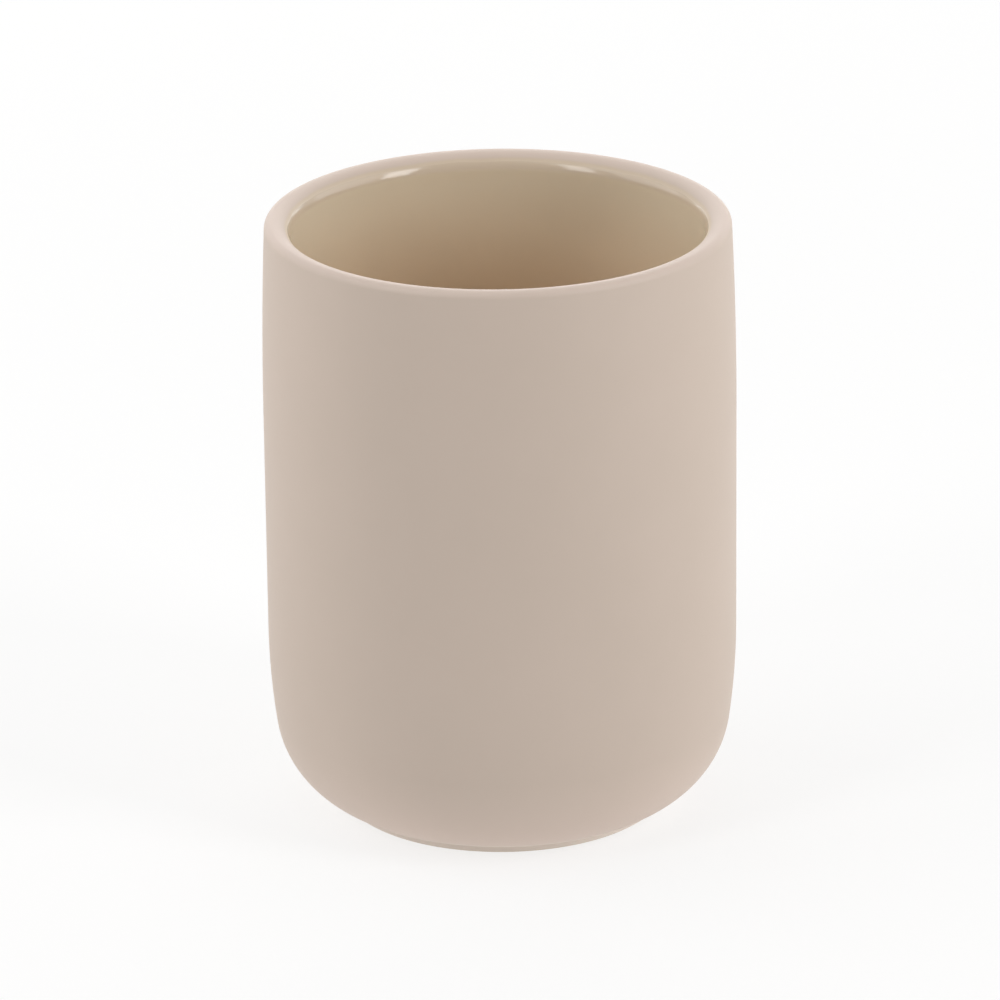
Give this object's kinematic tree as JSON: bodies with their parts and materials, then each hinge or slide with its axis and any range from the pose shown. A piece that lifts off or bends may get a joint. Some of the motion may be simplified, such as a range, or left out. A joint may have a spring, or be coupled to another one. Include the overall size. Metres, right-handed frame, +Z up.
{
  "type": "bathroom tumbler",
  "caption": "Plain round stoneware tumbler with a rounded base and a small foot ring, matte outside and glossy inside, for brushes or rinsing.",
  "frame": {"origin": "centre of the standing face, the underside of the pad, on the tumbler's axis", "axes": "+Z up along the tumbler's axis, out of the mouth; X and Y are alike because the tumbler is round"},
  "size_m": [0.08, 0.08, 0.104],
  "materials": {
    "fired_clay": "bare fired clay, fine dry grain",
    "matte_coat": "matte beige, smooth and dry to the touch",
    "gloss_glaze": "gloss khaki beige glaze",
    "soft_pad": "matte moulded silicone rubber",
    "adhesive_film": "thin pale adhesive film"
  },
  "bodies": {
    "root": {"stoneware_body": "fired_clay", "outer_coat": "matte_coat", "inner_glaze": "gloss_glaze", "base_pad": "soft_pad", "pad_adhesive": "adhesive_film"}
  },
  "joints": []
}
